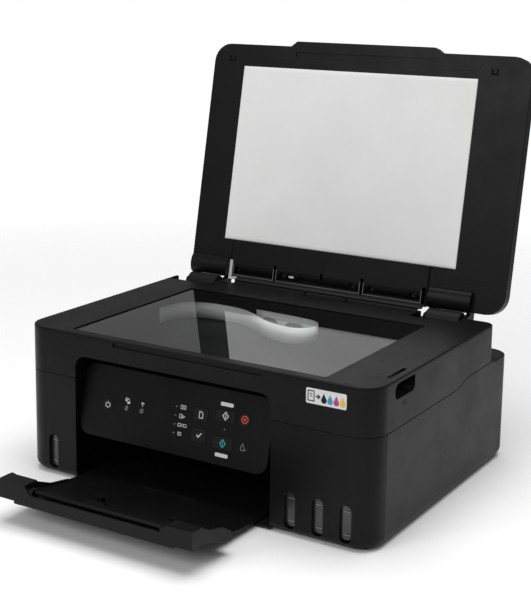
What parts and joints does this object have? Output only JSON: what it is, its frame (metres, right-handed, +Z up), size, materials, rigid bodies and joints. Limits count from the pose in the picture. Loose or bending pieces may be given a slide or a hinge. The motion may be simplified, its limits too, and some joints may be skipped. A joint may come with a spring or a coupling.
{
  "type": "inkjet printer",
  "caption": "Ink tank multifunction printer with a flatbed scanner, hinged document cover, sloped button panel and pull-out paper tray.",
  "frame": {"origin": "on the floor under the centre of the bounding box at rest, with the cover open and the tray pulled out", "axes": "+X to the right as seen from the front, +Y to the back, +Z up"},
  "size_m": [0.416, 0.5062, 0.4477],
  "materials": {
    "shell_black": "moulded fine grain, satin",
    "chassis_black": "moulded, matt",
    "panel_black": "smooth satin",
    "button_black": "satin with printed marks",
    "tray_black": "moulded fine grain, satin",
    "label_white": "printed film",
    "clear_glass": "polished",
    "pad_white": "pressed foam sheet",
    "ribbon_white": "flat flexible film",
    "tank_smoke": "smoked translucent",
    "cap_black": "satin",
    "cap_cyan": "satin",
    "cap_magenta": "satin",
    "cap_yellow": "satin",
    "foot_rubber": "matt",
    "belt_rubber": "matt",
    "roller_rubber": "ground",
    "steel": "zinc plated",
    "gear_white": "acetal",
    "pinion_brass": "machined",
    "cartridge_black": "moulded",
    "cartridge_colour": "moulded",
    "board_green": "solder mask",
    "socket_black": "smooth",
    "socket_steel": "plated"
  },
  "bodies": {
    "housing": {"base_case": "chassis_black", "front_cover_left": "shell_black", "front_cover_right": "shell_black", "side_cover_left": "shell_black", "side_cover_right": "shell_black", "rear_cover": "shell_black", "rear_deck": "shell_black", "inner_deck": "chassis_black", "control_panel": "panel_black", "power_inlet": "socket_black", "usb_port": "socket_steel", "foot_1": "foot_rubber", "foot_2": "foot_rubber", "foot_3": "foot_rubber", "foot_4": "foot_rubber", "ink_tank_black": "tank_smoke", "ink_tank_cyan": "tank_smoke", "ink_tank_magenta": "tank_smoke", "ink_tank_yellow": "tank_smoke", "carriage_rail": "steel", "carriage_belt": "belt_rubber", "carriage_motor": "steel", "feed_motor": "steel", "platen": "chassis_black", "main_board": "board_green", "power_supply": "chassis_black"},
    "scanner_unit": {"scanner_lower_case": "shell_black", "scanner_top_case": "shell_black", "scan_glass": "clear_glass", "scan_ribbon": "ribbon_white", "front_label": "label_white", "cover_hinge_left": "chassis_black", "cover_hinge_right": "chassis_black"},
    "scan_head": {"scan_bar": "chassis_black"},
    "document_lid": {"document_cover": "shell_black", "cover_pad": "pad_white"},
    "output_tray": {"output_tray": "tray_black"},
    "tray_extension": {"tray_extension": "tray_black"},
    "rear_flap": {"rear_tray_cover": "shell_black"},
    "paper_support": {"paper_support": "chassis_black"},
    "guide_left": {"paper_guide_left": "chassis_black"},
    "guide_right": {"paper_guide_right": "chassis_black"},
    "carriage": {"print_carriage": "chassis_black", "print_cartridge_black": "cartridge_black", "print_cartridge_colour": "cartridge_colour"},
    "drive_pulley": {"drive_pulley": "steel"},
    "idler_pulley": {"idler_pulley": "gear_white"},
    "feed_shaft": {"feed_roller": "roller_rubber", "feed_gear": "gear_white"},
    "motor_pinion": {"motor_pinion": "pinion_brass"},
    "button_power": {"button_power": "button_black"},
    "button_stop": {"button_stop": "button_black"},
    "button_select": {"button_select": "button_black"},
    "button_ok": {"button_ok": "button_black"},
    "button_start_black": {"button_start_black": "button_black"},
    "button_start_colour": {"button_start_colour": "button_black"},
    "cap_black": {"tank_cap_black": "cap_black"},
    "cap_cyan": {"tank_cap_cyan": "cap_cyan"},
    "cap_magenta": {"tank_cap_magenta": "cap_magenta"},
    "cap_yellow": {"tank_cap_yellow": "cap_yellow"}
  },
  "joints": [
    {"name": "scanner_lift", "type": "hinge", "parent": "housing", "child": "scanner_unit", "pos_m": [0, 0.17289, 0.14], "axis": [1, 0, 0], "range_deg": [-45, 0]},
    {"name": "cover_hinge", "type": "hinge", "parent": "scanner_unit", "child": "document_lid", "pos_m": [0, 0.17089, 0.1522], "axis": [-1, 0, 0], "range_deg": [-101.2, 0]},
    {"name": "scan_bar_slide", "type": "slide", "parent": "scanner_unit", "child": "scan_head", "axis": [1, 0, 0], "range_m": [0, 0.325]},
    {"name": "tray_slide", "type": "slide", "parent": "housing", "child": "output_tray", "axis": [0, 1, 0], "range_m": [0, 0.122]},
    {"name": "extension_hinge", "type": "hinge", "parent": "output_tray", "child": "tray_extension", "pos_m": [0, -0.24571, 0.0374], "axis": [-1, 0, 0], "range_deg": [-160, 0]},
    {"name": "rear_flap_hinge", "type": "hinge", "parent": "housing", "child": "rear_flap", "pos_m": [0, 0.19939, 0.1197], "axis": [-1, 0, 0], "range_deg": [0, 95]},
    {"name": "paper_support_slide", "type": "slide", "parent": "housing", "child": "paper_support", "axis": [0, 0.342, 0.9397], "range_m": [0, 0.08]},
    {"name": "guide_left_slide", "type": "slide", "parent": "housing", "child": "guide_left", "axis": [1, 0, 0], "range_m": [0, 0.06]},
    {"name": "guide_right_slide", "type": "slide", "parent": "housing", "child": "guide_right", "axis": [1, 0, 0], "range_m": [-0.06, 0]},
    {"name": "carriage_slide", "type": "slide", "parent": "housing", "child": "carriage", "axis": [1, 0, 0], "range_m": [-0.3, 0]},
    {"name": "drive_pulley_spin", "type": "hinge", "parent": "housing", "child": "drive_pulley", "pos_m": [0.176, 0.05549, 0.095], "axis": [0, 0, 1], "continuous": true},
    {"name": "idler_pulley_spin", "type": "hinge", "parent": "housing", "child": "idler_pulley", "pos_m": [-0.176, 0.05549, 0.095], "axis": [0, 0, 1], "continuous": true},
    {"name": "feed_spin", "type": "hinge", "parent": "housing", "child": "feed_shaft", "pos_m": [0, 0.10889, 0.064], "axis": [1, 0, 0], "continuous": true},
    {"name": "pinion_spin", "type": "hinge", "parent": "housing", "child": "motor_pinion", "pos_m": [0.1065, 0.10889, 0.0399], "axis": [1, 0, 0], "continuous": true},
    {"name": "button_power_press", "type": "slide", "parent": "housing", "child": "button_power", "axis": [0, 0.9781, -0.2079], "range_m": [0, 0.0009], "stiffness_N_per_m": 500},
    {"name": "button_stop_press", "type": "slide", "parent": "housing", "child": "button_stop", "axis": [0, 0.9781, -0.2079], "range_m": [0, 0.0009], "stiffness_N_per_m": 500},
    {"name": "button_select_press", "type": "slide", "parent": "housing", "child": "button_select", "axis": [0, 0.9781, -0.2079], "range_m": [0, 0.0009], "stiffness_N_per_m": 500},
    {"name": "button_ok_press", "type": "slide", "parent": "housing", "child": "button_ok", "axis": [0, 0.9781, -0.2079], "range_m": [0, 0.0009], "stiffness_N_per_m": 500},
    {"name": "button_start_black_press", "type": "slide", "parent": "housing", "child": "button_start_black", "axis": [0, 0.9781, -0.2079], "range_m": [0, 0.0009], "stiffness_N_per_m": 500},
    {"name": "button_start_colour_press", "type": "slide", "parent": "housing", "child": "button_start_colour", "axis": [0, 0.9781, -0.2079], "range_m": [0, 0.0009], "stiffness_N_per_m": 500},
    {"name": "cap_black_hinge", "type": "hinge", "parent": "housing", "child": "cap_black", "pos_m": [-0.171, -0.07911, 0.078], "axis": [-1, 0, 0], "range_deg": [0, 100]},
    {"name": "cap_cyan_hinge", "type": "hinge", "parent": "housing", "child": "cap_cyan", "pos_m": [0.1195, -0.07911, 0.078], "axis": [-1, 0, 0], "range_deg": [0, 100]},
    {"name": "cap_magenta_hinge", "type": "hinge", "parent": "housing", "child": "cap_magenta", "pos_m": [0.1497, -0.07911, 0.078], "axis": [-1, 0, 0], "range_deg": [0, 100]},
    {"name": "cap_yellow_hinge", "type": "hinge", "parent": "housing", "child": "cap_yellow", "pos_m": [0.1797, -0.07911, 0.078], "axis": [-1, 0, 0], "range_deg": [0, 100]}
  ],
  "couplings": [
    {"joint": "guide_right_slide", "follows": "guide_left_slide", "ratio": -1},
    {"joint": "drive_pulley_spin", "follows": "carriage_slide", "rad_per_m": 149.25},
    {"joint": "idler_pulley_spin", "follows": "carriage_slide", "rad_per_m": 149.25},
    {"joint": "pinion_spin", "follows": "feed_spin", "ratio": -3}
  ]
}
